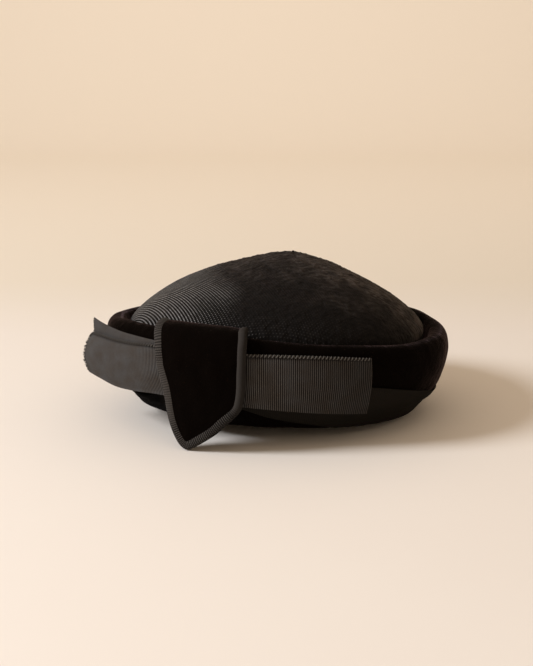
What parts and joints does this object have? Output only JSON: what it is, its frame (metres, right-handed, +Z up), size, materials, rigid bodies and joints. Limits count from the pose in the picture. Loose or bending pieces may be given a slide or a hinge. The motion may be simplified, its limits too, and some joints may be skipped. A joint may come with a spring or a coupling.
{
  "type": "pillbox hat",
  "caption": "Woman's pillbox hat: low straw dome inside a turned-up velvet brim, grosgrain foot band, ribbon bow and a pointed velvet tab bound in grosgrain.",
  "frame": {"origin": "middle of the hat's box on the surface that it stands on", "axes": "+Z up, front of the hat with its bow and tab towards -Y, the wearer's side of the cut ribbon end towards +X"},
  "size_m": [0.251, 0.2376, 0.1093],
  "materials": {
    "straw_cloth": "black-brown fine straw cloth, woven in ridges, slight sheen",
    "velvet": "black silk velvet, deep pile with a soft brown-purple edge sheen",
    "band_grosgrain": "matt faded black grosgrain",
    "bow_grosgrain": "charcoal ribbed grosgrain ribbon, matt with fine cross ribs"
  },
  "bodies": {
    "root": {"crown": "straw_cloth", "brim": "velvet", "base_band": "band_grosgrain", "bow_ribbon_front": "bow_grosgrain", "bow_ribbon_back": "bow_grosgrain", "bow_tab": "velvet", "tab_binding": "bow_grosgrain"}
  },
  "joints": []
}
